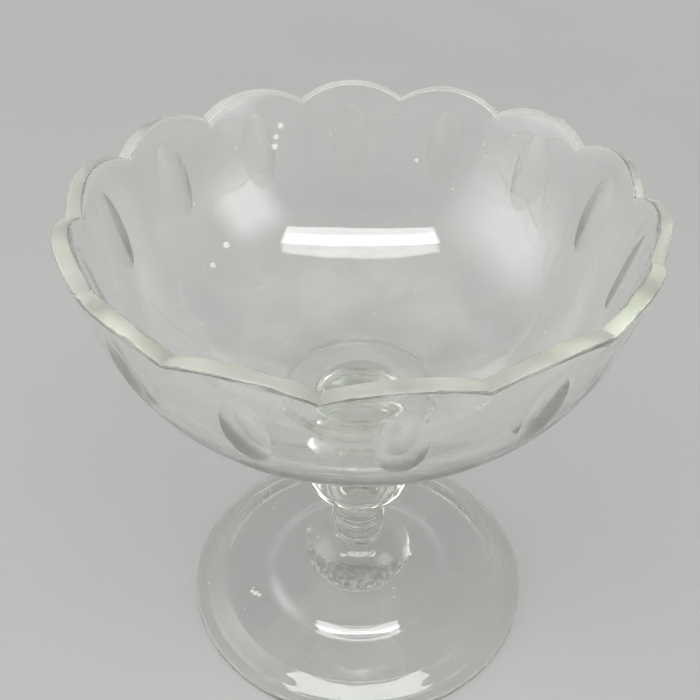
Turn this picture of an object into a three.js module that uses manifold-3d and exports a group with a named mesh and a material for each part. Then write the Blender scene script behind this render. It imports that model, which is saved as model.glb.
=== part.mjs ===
// Footed glass bowl: a scalloped, lens-cut bowl on a built-up stem with two knops and a low domed foot.
// Millimetres, +Z up, origin on the axis in the plane that the foot rests on.
// Every piece is a separate bit of glass, and each seats on the flat top of the one below it.

import * as THREE from 'three';
import { mergeVertices } from 'three/addons/utils/BufferGeometryUtils.js';
import Module from 'manifold-3d';

// Foot
const FOOT_RADIUS = 65;
const FOOT_EDGE_THICKNESS = 3.2;
const REST_RING_INSET = 1.8;
const REST_RING_WIDTH = 3.2;
const SHELF_OUTER_RADIUS = 51;
const SHELF_INNER_RADIUS = 40.5;
const SHELF_RISE = 2;
const SHELF_SLANT = 0.5;
const DOME_RADIUS = 24.5;
const DOME_RISE = 3.6;
const FOOT_WALL = 2.7;
const SEAT_RISE = 0.96;
const SEAT_FILLET = 5;

// Lower knop, an ellipsoid cut flat at both seats
const LOWER_KNOP_RADIUS = 20.5;
const LOWER_KNOP_HALF_HEIGHT = 13.2;
const LOWER_KNOP_BASE_RADIUS = 17;
const LOWER_KNOP_TOP_RADIUS = 10.3;

// Ringed collar between the knops
const COLLAR_HEIGHT = 19.3;
const COLLAR_RADIUS = 8.7;
const COLLAR_FLARE_HEIGHT = 4.2;
const LOWER_RING_RADIUS = 10.1;
const LOWER_RING_HEIGHT = 7.6;
const UPPER_RING_RADIUS = 9.5;
const UPPER_RING_HEIGHT = 11.7;
const RING_WIDTH = 2.6;

// Upper knop
const UPPER_KNOP_RADIUS = 19.7;
const UPPER_KNOP_HALF_HEIGHT = 15.2;
const UPPER_KNOP_BASE_RADIUS = 9.5;
const UPPER_KNOP_TOP_RADIUS = 12.2;

// Waisted neck and the disc that carries the bowl
const NECK_HEIGHT = 18;
const NECK_WAIST_RADIUS = 10.6;
const NECK_TOP_RADIUS = 15.8;
const MERESE_OVERHANG = 0.5;
const MERESE_HEIGHT = 5;

// Bowl wall, given as the curve of its outer face from the base seat to the top of a lobe
const BOWL_SEAT_RADIUS = 26;
const BOWL_HEIGHT = 75.3;
const BOWL_TOP_RADIUS = 89.9;
const BASE_SLOPE_DEG = 17;
const BASE_SWEEP = 64;
const RIM_FLARE_DEG = 22;
const RIM_SWEEP = 21.5;
const BASE_WALL = 9;
const RIM_WALL = 5.2;
const WALL_TAPER_POWER = 5;
const RIM_FACE_DEG = 9;
const RIM_BEVEL = 0.6;

// Scalloped rim: the cutter's spacing drifts a little round the bowl
const LOBE_COUNT = 14;
const LOBE_RISE = 5.4;
const FIRST_CUSP_DEG = 159.4;
const SPACING_DRIFT_DEG = 2.85;
const DRIFT_PEAK_DEG = 156.9;

// One upright lens is cut into the outside of the wall under each lobe
const LENS_LENGTH = 28;
const LENS_WIDTH = 13.3;
const LENS_HOLLOW = 0.85;
const LENS_TOP_BELOW_RIM = 8.8;
const LENS_CUTTER_RADIUS = 6;

// Smoothness of the round forms
const FOOT_SIDES = 48;
const STEM_SIDES = 36;
const LOBE_STEPS = 8;
const CURVE_STEPS = 4;
const KNOP_STEPS = 6;
const OUTER_STATIONS = 11;
const INNER_STATIONS = 8;
const FLOOR_STEPS = 2;
const LENS_SIDES = 22;
const LENS_RINGS = 14;

// Corners closer than this are one corner
const MERGE_DISTANCE = 1e-4;

const wasm = await Module();
wasm.setup();

// Merges the shared vertices of a geometry and drops the triangles that collapse on the axis.
function closedShape(geometry) {
  const bare = geometry.index ? geometry.toNonIndexed() : geometry.clone();
  bare.deleteAttribute('normal');
  bare.deleteAttribute('uv');
  const merged = mergeVertices(bare, MERGE_DISTANCE);
  const index = Array.from(merged.index.array);
  const kept = [];
  for (let i = 0; i < index.length; i += 3) {
    const [a, b, c] = index.slice(i, i + 3);
    if (a !== b && b !== c && c !== a) kept.push(a, b, c);
  }
  merged.setIndex(kept);
  return merged;
}

function toManifold(geometry) {
  const closed = closedShape(geometry);
  const vertProperties = new Float32Array(closed.attributes.position.array);
  const triVerts = new Uint32Array(closed.index.array);
  return new wasm.Manifold(new wasm.Mesh({ numProp: 3, vertProperties, triVerts }));
}

function fromManifold(solid) {
  const { numProp, vertProperties, triVerts } = solid.getMesh();
  const corners = new Float32Array(triVerts.length * 3);
  triVerts.forEach((vertex, corner) => {
    for (let axis = 0; axis < 3; axis++) {
      corners[corner * 3 + axis] = vertProperties[vertex * numProp + axis];
    }
  });
  const geometry = new THREE.BufferGeometry();
  geometry.setAttribute('position', new THREE.BufferAttribute(corners, 3));
  geometry.computeVertexNormals();
  return geometry;
}

// Turns a profile, drawn from the axis at the bottom to the axis at the top, about the Z axis.
function turned(profile, sides) {
  const lathe = new THREE.LatheGeometry(profile, sides);
  lathe.rotateX(Math.PI / 2);
  const shape = closedShape(lathe);
  shape.computeVertexNormals();
  return shape;
}

function glass(color, roughness) {
  return new THREE.MeshStandardMaterial({
    color, roughness, metalness: 0, transparent: true, opacity: 0.45, side: THREE.DoubleSide,
  });
}

// Height above the equator at which an ellipsoid has a given radius.
function ellipsoidHeight(radius, halfHeight, atRadius) {
  return halfHeight * Math.sqrt(1 - (atRadius / radius) ** 2);
}

// A solid knop: the arc of an ellipse between the two flat seats.
function knopGeometry(radius, halfHeight, baseRadius, topRadius) {
  const below = ellipsoidHeight(radius, halfHeight, baseRadius);
  const above = ellipsoidHeight(radius, halfHeight, topRadius);
  const start = -Math.acos(baseRadius / radius);
  const end = Math.acos(topRadius / radius);
  const profile = new THREE.Path();
  profile.moveTo(0, 0);
  profile.lineTo(baseRadius, 0);
  profile.absellipse(0, below, radius, halfHeight, start, end, false);
  profile.lineTo(0, below + above);
  return turned(profile.getPoints(KNOP_STEPS), STEM_SIDES);
}

// The foot: a thin disc that rises from its edge to a shelf and from there to a low dome under the knop.
// Underneath it is hollow inside the ring that it rests on.
function footGeometry() {
  const restOuter = FOOT_RADIUS - REST_RING_INSET;
  const restInner = restOuter - REST_RING_WIDTH;
  const edgeTop = FOOT_EDGE_THICKNESS;
  const shelfZ = edgeTop + SHELF_RISE;
  const shelfInnerZ = shelfZ + SHELF_SLANT;
  const domeZ = shelfInnerZ + DOME_RISE;
  const seatZ = domeZ + SEAT_RISE;
  const edgeHalfway = (restOuter + SHELF_OUTER_RADIUS) / 2;
  const hollowHalfway = (restInner + SHELF_OUTER_RADIUS) / 2;
  const domeHalfway = (SHELF_INNER_RADIUS + DOME_RADIUS) / 2;

  const profile = new THREE.Path();
  profile.moveTo(0, domeZ - FOOT_WALL);
  profile.lineTo(DOME_RADIUS, domeZ - FOOT_WALL);
  profile.bezierCurveTo(
    domeHalfway, domeZ - FOOT_WALL, domeHalfway, shelfInnerZ - FOOT_WALL,
    SHELF_INNER_RADIUS, shelfInnerZ - FOOT_WALL);
  profile.lineTo(SHELF_OUTER_RADIUS, shelfZ - FOOT_WALL);
  profile.bezierCurveTo(hollowHalfway, shelfZ - FOOT_WALL, hollowHalfway, 0, restInner, 0);
  profile.lineTo(restOuter, 0);
  profile.quadraticCurveTo(FOOT_RADIUS, 0, FOOT_RADIUS, edgeTop / 2);
  profile.quadraticCurveTo(FOOT_RADIUS, edgeTop, restOuter, edgeTop);
  profile.bezierCurveTo(
    edgeHalfway, edgeTop + SHELF_RISE / 2, edgeHalfway, shelfZ, SHELF_OUTER_RADIUS, shelfZ);
  profile.lineTo(SHELF_INNER_RADIUS, shelfInnerZ);
  profile.bezierCurveTo(domeHalfway, shelfInnerZ, domeHalfway, domeZ, DOME_RADIUS, domeZ);
  profile.lineTo(LOWER_KNOP_BASE_RADIUS + SEAT_FILLET, domeZ);
  profile.quadraticCurveTo(LOWER_KNOP_BASE_RADIUS, domeZ, LOWER_KNOP_BASE_RADIUS, seatZ);
  profile.lineTo(0, seatZ);
  return turned(profile.getPoints(CURVE_STEPS), FOOT_SIDES);
}

// The collar: it flares down onto the lower knop and carries two drawn rings.
function collarGeometry() {
  const ring = (path, height, radius) => {
    path.lineTo(COLLAR_RADIUS, height - RING_WIDTH / 2);
    path.quadraticCurveTo(2 * radius - COLLAR_RADIUS, height, COLLAR_RADIUS, height + RING_WIDTH / 2);
  };
  const profile = new THREE.Path();
  profile.moveTo(0, 0);
  profile.lineTo(LOWER_KNOP_TOP_RADIUS, 0);
  profile.quadraticCurveTo(COLLAR_RADIUS, COLLAR_FLARE_HEIGHT / 2, COLLAR_RADIUS, COLLAR_FLARE_HEIGHT);
  ring(profile, LOWER_RING_HEIGHT, LOWER_RING_RADIUS);
  ring(profile, UPPER_RING_HEIGHT, UPPER_RING_RADIUS);
  profile.lineTo(COLLAR_RADIUS, COLLAR_HEIGHT);
  profile.lineTo(0, COLLAR_HEIGHT);
  return turned(profile.getPoints(CURVE_STEPS), STEM_SIDES);
}

// The neck: waisted between the upper knop and the disc under the bowl.
function neckGeometry() {
  const waist = NECK_WAIST_RADIUS;
  const profile = new THREE.Path();
  profile.moveTo(0, 0);
  profile.lineTo(UPPER_KNOP_TOP_RADIUS, 0);
  profile.bezierCurveTo(
    waist, NECK_HEIGHT / 4, waist, NECK_HEIGHT * 3 / 4, NECK_TOP_RADIUS, NECK_HEIGHT);
  profile.lineTo(0, NECK_HEIGHT);
  return turned(profile.getPoints(CURVE_STEPS), STEM_SIDES);
}

// The merese: a flat disc with a rounded edge, pressed against the base of the bowl.
function mereseGeometry() {
  const edge = MERESE_HEIGHT / 2;
  const centre = BOWL_SEAT_RADIUS + MERESE_OVERHANG - edge;
  const profile = new THREE.Path();
  profile.moveTo(0, 0);
  profile.lineTo(centre, 0);
  profile.absarc(centre, edge, edge, -Math.PI / 2, Math.PI / 2, false);
  profile.lineTo(0, MERESE_HEIGHT);
  return turned(profile.getPoints(CURVE_STEPS), STEM_SIDES);
}

const baseSlope = THREE.MathUtils.degToRad(BASE_SLOPE_DEG);
const rimFlare = THREE.MathUtils.degToRad(RIM_FLARE_DEG);
const rimFace = THREE.MathUtils.degToRad(RIM_FACE_DEG);
const wallCurve = new THREE.CubicBezierCurve(
  new THREE.Vector2(BOWL_SEAT_RADIUS, 0),
  new THREE.Vector2(
    BOWL_SEAT_RADIUS + BASE_SWEEP * Math.cos(baseSlope), BASE_SWEEP * Math.sin(baseSlope)),
  new THREE.Vector2(
    BOWL_TOP_RADIUS - RIM_SWEEP * Math.sin(rimFlare), BOWL_HEIGHT - RIM_SWEEP * Math.cos(rimFlare)),
  new THREE.Vector2(BOWL_TOP_RADIUS, BOWL_HEIGHT),
);
const wallLength = wallCurve.getLength();

// A point on the wall at a length along its outer face, set in by a depth along the wall's normal.
function wallPoint(length, depth) {
  const point = wallCurve.getPointAt(length / wallLength);
  const tangent = wallCurve.getTangentAt(length / wallLength);
  return new THREE.Vector2(point.x - depth * tangent.y, point.y + depth * tangent.x);
}

// The wall is nearly even, and thickens towards the base.
function wallThickness(length) {
  return RIM_WALL + (BASE_WALL - RIM_WALL) * (1 - length / wallLength) ** WALL_TAPER_POWER;
}

// Azimuth of a cusp between two lobes, in radians, for a whole or fractional cusp number.
function cuspAzimuth(number) {
  const even = (360 * number) / LOBE_COUNT;
  const drift = SPACING_DRIFT_DEG * Math.cos(THREE.MathUtils.degToRad(even - DRIFT_PEAK_DEG));
  return THREE.MathUtils.degToRad(FIRST_CUSP_DEG + even + drift);
}

// Azimuth of a step round the rim, spread evenly between the two cusps of its lobe.
function stepAzimuth(step) {
  const lobe = Math.floor(step / LOBE_STEPS);
  const share = step / LOBE_STEPS - lobe;
  return THREE.MathUtils.lerp(cuspAzimuth(lobe), cuspAzimuth(lobe + 1), share);
}

// How far a lobe's arched edge has dropped below its top, measured along the wall.
function rimDrop(step) {
  const across = 2 * (step / LOBE_STEPS - Math.floor(step / LOBE_STEPS)) - 1;
  const halfChord = (Math.PI * BOWL_TOP_RADIUS) / LOBE_COUNT;
  const archRadius = (halfChord ** 2 + LOBE_RISE ** 2) / (2 * LOBE_RISE);
  return archRadius - Math.sqrt(archRadius ** 2 - (halfChord * across) ** 2);
}

// The bowl's section at one step round the rim, from the axis at the seat to the axis at the floor.
function bowlSection(step) {
  const top = wallLength - rimDrop(step);
  const rimDepth = wallThickness(top);
  const innerTop = top - rimDepth * Math.tan(rimFlare - rimFace);
  const section = [new THREE.Vector2(0, 0)];
  for (let i = 0; i < OUTER_STATIONS; i++) {
    section.push(wallPoint(((top - RIM_BEVEL) * i) / (OUTER_STATIONS - 1), 0));
  }
  section.push(wallPoint(top, RIM_BEVEL));
  section.push(wallPoint(innerTop, rimDepth - RIM_BEVEL));
  for (let i = INNER_STATIONS - 1; i >= 0; i--) {
    const length = ((innerTop - RIM_BEVEL) * i) / (INNER_STATIONS - 1);
    section.push(wallPoint(length, wallThickness(length)));
  }
  const floorEdge = section[section.length - 1];
  const floorSlope = Math.tan(baseSlope) - (WALL_TAPER_POWER * (BASE_WALL - RIM_WALL)) / wallLength;
  const floorZ = floorEdge.y - (floorEdge.x / 2) * floorSlope;
  const floor = new THREE.QuadraticBezierCurve(
    floorEdge, new THREE.Vector2(floorEdge.x / 2, floorZ), new THREE.Vector2(0, floorZ));
  section.push(...floor.getPoints(FLOOR_STEPS).slice(1));
  return section;
}

// The blank is turned, then its rim is drawn down between the lobes.
function bowlBlank() {
  const steps = LOBE_COUNT * LOBE_STEPS;
  const blank = new THREE.LatheGeometry(bowlSection(0), steps);
  const position = blank.attributes.position;
  const count = bowlSection(0).length;
  for (let step = 0; step <= steps; step++) {
    const section = bowlSection(step % steps);
    const azimuth = stepAzimuth(step % steps);
    section.forEach((point, i) => {
      position.setXYZ(
        step * count + i, point.x * Math.cos(azimuth), point.x * Math.sin(azimuth), point.y);
    });
  }
  return blank;
}

// How far a curved wall falls away from its tangent over half a length.
function wallFall(length, curvature) {
  return ((length / 2) ** 2 * curvature) / 2;
}

// Half-axis of the cutter that leaves a cut of a given length and depth where the wall falls away.
function cutterHalfAxis(length, depth, fall) {
  return length / 2 / Math.sqrt(1 - ((LENS_CUTTER_RADIUS - depth + fall) / LENS_CUTTER_RADIUS) ** 2);
}

// The wheel that cuts one lens: an ellipsoid whose flat side lies against the wall.
function lensCutter(lobe) {
  const middle = wallLength - LENS_TOP_BELOW_RIM - LENS_LENGTH / 2;
  const below = wallCurve.getTangentAt((middle - LENS_LENGTH / 2) / wallLength);
  const above = wallCurve.getTangentAt((middle + LENS_LENGTH / 2) / wallLength);
  const fallUp = wallFall(LENS_LENGTH, (above.angle() - below.angle()) / LENS_LENGTH);
  const fallAcross = wallFall(LENS_WIDTH, 1 / BOWL_TOP_RADIUS);
  const depth = LENS_HOLLOW + fallUp;
  const cutter = new THREE.SphereGeometry(1, LENS_SIDES, LENS_RINGS);
  cutter.scale(
    cutterHalfAxis(LENS_LENGTH, depth, fallUp),
    LENS_CUTTER_RADIUS,
    cutterHalfAxis(LENS_WIDTH, depth, fallAcross),
  );
  const azimuth = (cuspAzimuth(lobe) + cuspAzimuth(lobe + 1)) / 2;
  const outward = new THREE.Vector3(Math.cos(azimuth), Math.sin(azimuth), 0);
  const tangent = wallCurve.getTangentAt(middle / wallLength);
  const upWall = outward.clone().multiplyScalar(tangent.x);
  upWall.z = tangent.y;
  const normal = outward.clone().multiplyScalar(tangent.y);
  normal.z = -tangent.x;
  const centre = wallPoint(middle, depth - LENS_CUTTER_RADIUS);
  const place = new THREE.Matrix4().makeBasis(upWall, normal, upWall.clone().cross(normal));
  place.setPosition(outward.x * centre.x, outward.y * centre.x, centre.y);
  cutter.applyMatrix4(place);
  return cutter;
}

function bowlGeometry() {
  let bowl = toManifold(bowlBlank());
  for (let lobe = 0; lobe < LOBE_COUNT; lobe++) {
    bowl = bowl.subtract(toManifold(lensCutter(lobe)));
  }
  return fromManifold(bowl);
}

const bowlGlass = glass(0xdfe4d6, 0.04);
const stemGlass = glass(0xd9ddd2, 0.08);
const footGlass = glass(0xdbe0d6, 0.06);

const lowerKnop = knopGeometry(
  LOWER_KNOP_RADIUS, LOWER_KNOP_HALF_HEIGHT, LOWER_KNOP_BASE_RADIUS, LOWER_KNOP_TOP_RADIUS);
const upperKnop = knopGeometry(
  UPPER_KNOP_RADIUS, UPPER_KNOP_HALF_HEIGHT, UPPER_KNOP_BASE_RADIUS, UPPER_KNOP_TOP_RADIUS);

const footedBowl = new THREE.Group();

// Seats each piece on the flat top of the one before it.
function stack(name, geometry, material) {
  const mesh = new THREE.Mesh(geometry, material);
  mesh.name = name;
  mesh.position.z = seatHeight;
  geometry.computeBoundingBox();
  seatHeight += geometry.boundingBox.max.z;
  footedBowl.add(mesh);
}

let seatHeight = 0;
stack('foot', footGeometry(), footGlass);
stack('lower_knop', lowerKnop, stemGlass);
stack('ringed_collar', collarGeometry(), stemGlass);
stack('upper_knop', upperKnop, stemGlass);
stack('neck', neckGeometry(), stemGlass);
stack('merese', mereseGeometry(), stemGlass);
stack('bowl', bowlGeometry(), bowlGlass);

export default footedBowl;
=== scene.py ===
# A footed glass bowl on a pale floor under soft studio light.
# Each piece of glass takes the place of its plain solid and adds the fine detail: smooth curves, wheel-cut
# lenses, a ground rim with chips, a pebbled knop with its mould seam, smudges, seeds and wear.
# Sizes are written in millimetres and turned into metres as each mesh or material is made. The room, the
# lamps and the camera are in metres.

import math

import bpy
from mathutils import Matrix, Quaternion, Vector, noise


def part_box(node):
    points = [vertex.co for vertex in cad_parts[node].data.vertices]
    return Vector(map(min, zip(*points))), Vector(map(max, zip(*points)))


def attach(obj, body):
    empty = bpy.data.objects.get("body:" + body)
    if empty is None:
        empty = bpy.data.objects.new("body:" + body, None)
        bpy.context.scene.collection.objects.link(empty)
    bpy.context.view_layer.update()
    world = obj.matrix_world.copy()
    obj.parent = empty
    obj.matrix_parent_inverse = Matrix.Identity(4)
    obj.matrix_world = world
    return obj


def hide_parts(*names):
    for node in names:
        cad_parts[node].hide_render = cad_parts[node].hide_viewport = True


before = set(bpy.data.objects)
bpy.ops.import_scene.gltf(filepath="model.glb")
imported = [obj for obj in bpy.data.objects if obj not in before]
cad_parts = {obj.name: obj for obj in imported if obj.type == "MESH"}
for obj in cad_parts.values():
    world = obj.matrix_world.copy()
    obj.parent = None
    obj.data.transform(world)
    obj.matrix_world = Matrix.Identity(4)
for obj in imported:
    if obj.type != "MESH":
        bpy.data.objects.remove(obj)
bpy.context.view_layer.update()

MM = 0.001

# Each piece stops this far short of its seat, and its contact face there is left out of sight,
# so that the hot-joined glass reads as one body.
SEAT_GAP = 0.01

# Foot
FOOT_RADIUS = 65
FOOT_EDGE_THICKNESS = 3.2
REST_RING_INSET = 1.8
REST_RING_WIDTH = 3.2
SHELF_OUTER_RADIUS = 51
SHELF_INNER_RADIUS = 40.2
SHELF_RISE = 2
SHELF_SLANT = 0.5
DOME_RADIUS = 27.6
DOME_RISE = 3.6
FOOT_WALL = 2.7
# Under the shelf's edge the glass is a little thinner, and slopes straight down to the resting ring
HOLLOW_RADIUS = 52.3
HOLLOW_RISE = 2.9
SEAT_RISE = 0.96
SEAT_FILLET = 5

# Lower knop
LOWER_KNOP_RADIUS = 20.5
LOWER_KNOP_HALF_HEIGHT = 13.2
LOWER_KNOP_BASE_RADIUS = 17
LOWER_KNOP_TOP_RADIUS = 10.3

# Ringed collar, with the height and radius of each ring
COLLAR_HEIGHT = 19.3
COLLAR_RADIUS = 8.7
COLLAR_FLARE_HEIGHT = 4.2
COLLAR_RINGS = ((7.6, 10.1), (11.7, 9.5))
RING_WIDTH = 2.6

# Upper knop
UPPER_KNOP_RADIUS = 19.7
UPPER_KNOP_HALF_HEIGHT = 15.2
UPPER_KNOP_BASE_RADIUS = 9.5
UPPER_KNOP_TOP_RADIUS = 12.2

# Neck and merese
NECK_HEIGHT = 18
NECK_WAIST_RADIUS = 10.6
NECK_TOP_RADIUS = 15.8
MERESE_RADIUS = 26.5
MERESE_HEIGHT = 5

# Bowl wall
BOWL_SEAT_RADIUS = 26
BOWL_HEIGHT = 75.3
BOWL_TOP_RADIUS = 89.9
BASE_SLOPE = math.radians(17)
BASE_SWEEP = 64
RIM_FLARE = math.radians(22)
RIM_SWEEP = 21.5
BASE_WALL = 9
RIM_WALL = 5.2
WALL_TAPER_POWER = 5
RIM_FACE = math.radians(9)
# The hand-made wall is thinner round this azimuth
THIN_SIDE = math.radians(30)
THIN_SPREAD = math.radians(55)
THIN_SIDE_LOSS = 1.8
# Samples of the wall's outer curve, and the distance on each side of a point that gives its direction
WALL_SAMPLES = 2000
TANGENT_REACH = 0.5
# The rings of the bowl's flat underside: the edge of the merese's flat top, and the foot of the wall
UNDERSIDE_RADII = (MERESE_RADIUS - MERESE_HEIGHT / 2, BOWL_SEAT_RADIUS)

# Scalloped rim. The spacing of its lobes drifts a little round the bowl, and most at the peak, in degrees
LOBE_COUNT = 14
LOBE_RISE = 5.4
FIRST_CUSP = 159.4
SPACING_DRIFT = 2.85
DRIFT_PEAK = 156.9

# The rim's rounded face falls this far from its middle to its edges
RIM_CROWN = 0.45
# Its worn edges: their usual bevel, the least share of it, what nicks add to that share, and their grain
RIM_BEVEL = 0.6
BEVEL_LEAST = 0.75
BEVEL_NICKS = 0.5
NICK_GRAIN = 24
# How far a rounded edge reaches out from its chamfer towards the sharp corner
ROUND_FULLNESS = 0.6
# How matt the rim's bevels are, as a share of its ground face
BEVEL_SATIN = 0.45
# Glints where the rim is chipped: azimuth in degrees, extra bevel and half-width
RIM_CHIPS = (
    (-148, 0.5, 1.6), (-144, 0.3, 1.0), (-129, 0.6, 2.2), (-119, 0.3, 1.2), (-104, 0.5, 2.4),
    (-71, 0.3, 1.3), (-38, 0.4, 1.5), (8, 0.3, 1.4), (64, 0.35, 1.6), (131, 0.4, 1.5),
)

# Lens cuts
LENS_HALF_LENGTH = 14
LENS_HALF_WIDTH = 6.65
LENS_DEPTH = 1.5
LENS_TOP_BELOW_RIM = 8.8
LENS_MARGIN = 1.6
# Share of the fine patch round each lens that the lens itself takes up
LENS_SHARE = 2 / 3

# Grid of the bowl's surface: columns in a lobe, then rows from the base over the rim to the floor
LOBE_COLUMNS = 36
LOWER_ROWS = 14
PATCH_ROWS = 48
UPPER_ROWS = 8
BEVEL_ROWS = 3
RIM_ROWS = 6
INNER_ROWS = 40
FLOOR_ROWS = 10
# Half the columns and half the rows of the grid that lie inside a lens
LENS_HALF_COLUMNS = round(LENS_SHARE * LOBE_COLUMNS / 2)
LENS_HALF_ROWS = round(LENS_SHARE * PATCH_ROWS / 2)

# Relief of the hand-made surfaces, as layers of grain and depth
FOOT_RELIEF = ((22, 0.12), (7, 0.04))
LOWER_KNOP_RELIEF = ((9, 0.12),)
COLLAR_RELIEF = ((6, 0.2),)
UPPER_KNOP_RELIEF = ((8, 0.35), (3, 0.08))
NECK_RELIEF = ((8, 0.2),)
MERESE_RELIEF = ((10, 0.25),)
BOWL_RELIEF = ((26, 0.16), (9, 0.05))
# Relief fades out over this length beside a seat or a resting face
RELIEF_FADE = 1.5
# The lower knop's pebbles, the share of them above its middle, and the height over which they fade to it
PEBBLES = ((2.2, 0.22), (1.1, 0.1))
PEBBLES_ABOVE = 0.25
PEBBLES_FADE = 6
# Its mould seam, and the burrs on that: azimuth in degrees and height above the floor
SEAM_BURRS = ((170, 19.9), (347, 16.4))
SEAM_HEIGHT = 0.12
SEAM_HALF_WIDTH = 0.9
BURR_HEIGHT = 1.3
BURR_HALF_WIDTH = 1.6
BURR_HALF_LENGTH = 1.5

# The glass holds back a little red and more blue, so that thick glass looks grey-green.
# The tint is what passes, and the density is how strongly it works over a metre.
GLASS_TINT = (0.80, 0.84, 0.74, 1)
TINT_DENSITY = 11.0
GLASS_IOR = 1.52

# Patterns of noise in the materials: scale, detail and roughness
SMUDGES = (34, 5, 0.6)
SURFACE_GRAIN = (420, 3, 0.5)
DUST_SPREAD = (900, 2, 0.5)
SPECK_OUTLINES = (2500, 3, 0.5)
SMEARS = (30, 5, 0.65)
KNOP_GRAINS = (480, 2, 0.5)
SCORING = (1, 4, 0.65)
MILKY_PATCHES = (70, 3, 0.5)
FLOOR_MOTTLING = (9, 4, 0.5)
# The fine scoring's scale along the rim and across it
SCORING_ALONG = 26
SCORING_ACROSS = 2600

# All the glass, from clean to smudged: the noise's value, how matt, how clear and what colour the glass is
SMUDGED_BETWEEN = (0.4, 0.75)
POLISHED_ROUGHNESS = (0.008, 0.05)
POLISHED_TRANSMISSION = (0.995, 0.93)
POLISHED_COLOURS = ((0.99, 0.995, 0.985, 1), (0.97, 0.98, 0.955, 1))
# The lens cuts, in the same way
CUTS_SMUDGED_BETWEEN = (0.3, 0.7)
CUT_ROUGHNESS = (0.2, 0.27)
CUT_TRANSMISSION = (0.84, 0.72)
# The ground rim: how milky its patches are, what the scoring adds, and how matt that makes it
PATCHES_BETWEEN = (0.35, 0.65)
PATCH_MILKINESS = (0.24, 0.4)
SCORED_BETWEEN = (0.2, 0.8)
SCORED_MILKINESS = (-0.06, 0.06)
MILKY_BETWEEN = (0.2, 0.45)
SATIN_ROUGHNESS = (0.3, 0.4)
SATIN_COLOUR = (0.93, 0.925, 0.865, 1)
# How matt the resting ring is worn, as a share of the ground rim
WEAR = 0.2
# The lower knop's crude skin: the height that it reaches to, the length of its fade there, and its grains
CRUDE_BELOW = 20.5
CRUDE_FADE = 8
KNOP_GRAINS_BETWEEN = (0.45, 0.6)
KNOP_GRAIN_TRANSMISSION = (0.92, 0.5)
CRUDE_ROUGHNESS = 0.05
# The bowl's floor, clouded by use: the height that the smears reach to, and the length of their fade there
CLOUDY_BELOW = 122
CLOUDY_FADE = 20
SMEARED_BETWEEN = (0.42, 0.62)
CLOUDED_LOOK = {"transmission": 0.86}
# The ring round the joint beneath the bowl: matt and nearly opaque, so that it shows whitish, a painted
# highlight that stands in for the light trapped in the joint
JOINT_HIGHLIGHT_LOOK = {"roughness": 0.35, "transmission": 0.2}
# Dust: the scale of its cells, and the size of a grain as a share of its cell
DUST_CELLS = 190
DUST_BETWEEN = (0.42, 0.63)
DUST_SIZES = (0.0, 0.07)
DUST_LOOK = {"roughness": 0.5, "transmission": 0.3}
# Larger specks inside the bowl: azimuth in degrees, distance below the rim along the wall, and radius
BOWL_SPECKS = (
    (137.2, 52.5, 1.2), (145.6, 56.8, 1.1), (111.9, 13.9, 1.0),
    (113.4, 17.8, 0.9), (114.1, 21.3, 1.1), (74.9, 28.1, 0.7),
)
# Larger specks on the foot's shelf: azimuth in degrees, distance from the axis, and radius
FOOT_SPECKS = ((-160.6, 43.7, 0.8), (-158.7, 42.6, 1.1), (-156.8, 41.6, 0.8))
# Fine relief of the glass: how much of each pattern is in it, and how strong and how high it is in metres
SMUDGE_RELIEF = 0.3
GRAIN_RELIEF = 0.04
KNOP_GRAIN_RELIEF = 8.0
SCORING_RELIEF = 0.06
FINE_RELIEF_STRENGTH = 0.35
FINE_RELIEF_HEIGHT = 0.0004

# The room: the colour that the floor fades to far away, which is the room's just above it, and
# the colour overhead, darker so that the clear glass has lines in it
HORIZON = (0.8, 0.8, 0.8, 1)
OVERHEAD = (0.28, 0.28, 0.28, 1)
# The one becomes the other between these heights in the sky, given as sines
SKY_FADES = (0.05, 0.6)
# The floor's two colours, how matt it is, and how much of them near the object doesn't depend on the light
FLOOR_GREY = (0.48, 0.48, 0.475, 1)
FLOOR_PALE = (0.5, 0.5, 0.495, 1)
FLOOR_ROUGHNESS = 0.75
PLAIN_SHARE = 0.6
# Distances in metres over which that share grows to all of it, and over which the floor fades away
PLAIN_FADES = (0.3, 0.9)
FLOOR_FADES = (0.8, 4.5)
# The floor's half-size in metres
FLOOR_REACH = 12.0
# The floor lies this many millimetres under the resting ring, so that the two faces don't coincide
FLOOR_DROP = 0.05
# Soft panels, in metres and watts: name, position, target, width, height, power and share that fades out
SOFTBOXES = (
    ("overhead_window", (0.01, -0.455, 1.295), (0, 0.06, 0.122), 1.5, 0.3, 12.0, 0.04),
    ("left_window", (-1.12, -0.1, 0.66), (0, 0, 0.13), 1.8, 1.4, 19.9, 0.75),
    ("right_window", (1.0, -0.5, 0.66), (0, 0, 0.15), 0.8, 1.15, 8.5, 0.65),
)

# The photograph's viewpoint, in metres, with a trace of tilt in radians
CAMERA_POSITION = (0, -0.2493, 0.3090)
CAMERA_TARGET = (-0.00342, 0, 0.1145)
CAMERA_ROLL = 0.0034
FOCAL_LENGTH = 48.88
SENSOR_WIDTH = 36
NEAREST_SEEN = 0.01

# Enough for light that runs along inside the wall
GLASS_BOUNCES = 48
SEE_THROUGH_BOUNCES = 32


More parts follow.
